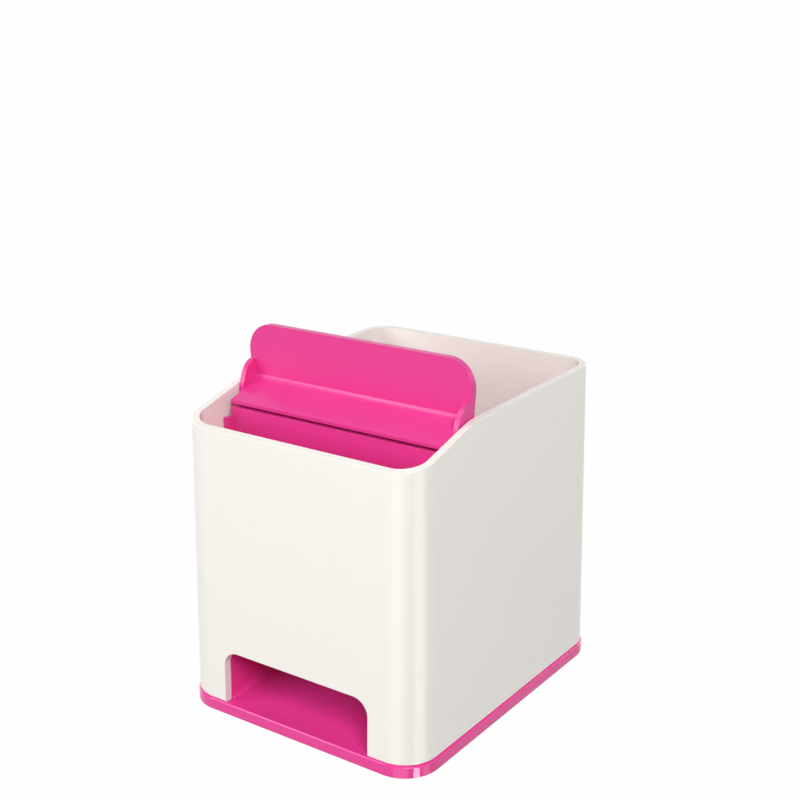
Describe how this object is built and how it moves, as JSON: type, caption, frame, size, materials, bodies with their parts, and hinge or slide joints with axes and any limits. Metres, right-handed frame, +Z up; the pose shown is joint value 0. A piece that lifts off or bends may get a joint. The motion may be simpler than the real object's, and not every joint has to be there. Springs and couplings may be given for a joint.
{
  "type": "pen holder",
  "caption": "Desk pen holder with a drafted sleeve on a base plate, a deep well at the back, a leaning device rest at the front and a sound horn to an outlet at its foot.",
  "frame": {"origin": "on the desk, under the middle of the base plate", "axes": "+Z up, -Y towards the side with the sound outlet and the low rim, +X to the right seen from that side"},
  "size_m": [0.085, 0.1026, 0.112],
  "materials": {
    "shell_gloss": "polished moulded plastic",
    "plate_gloss": "polished moulded plastic",
    "insert_gloss": "polished moulded plastic",
    "rest_gloss": "polished moulded plastic",
    "foot_rubber": "matt moulded rubber"
  },
  "bodies": {
    "holder": {"outer_shell": "shell_gloss", "base_plate": "plate_gloss", "foot_front_left": "foot_rubber", "foot_front_right": "foot_rubber", "foot_back_left": "foot_rubber", "foot_back_right": "foot_rubber"},
    "insert": {"horn_body": "insert_gloss", "divider_wall": "insert_gloss"},
    "rest": {"device_rest": "rest_gloss"}
  },
  "joints": [
    {"name": "insert_lift", "type": "slide", "parent": "holder", "child": "insert", "axis": [0, 0, 1], "range_m": [0, 0.095]},
    {"name": "rest_lift", "type": "slide", "parent": "insert", "child": "rest", "axis": [0, 0, 1], "range_m": [0, 0.012]}
  ]
}
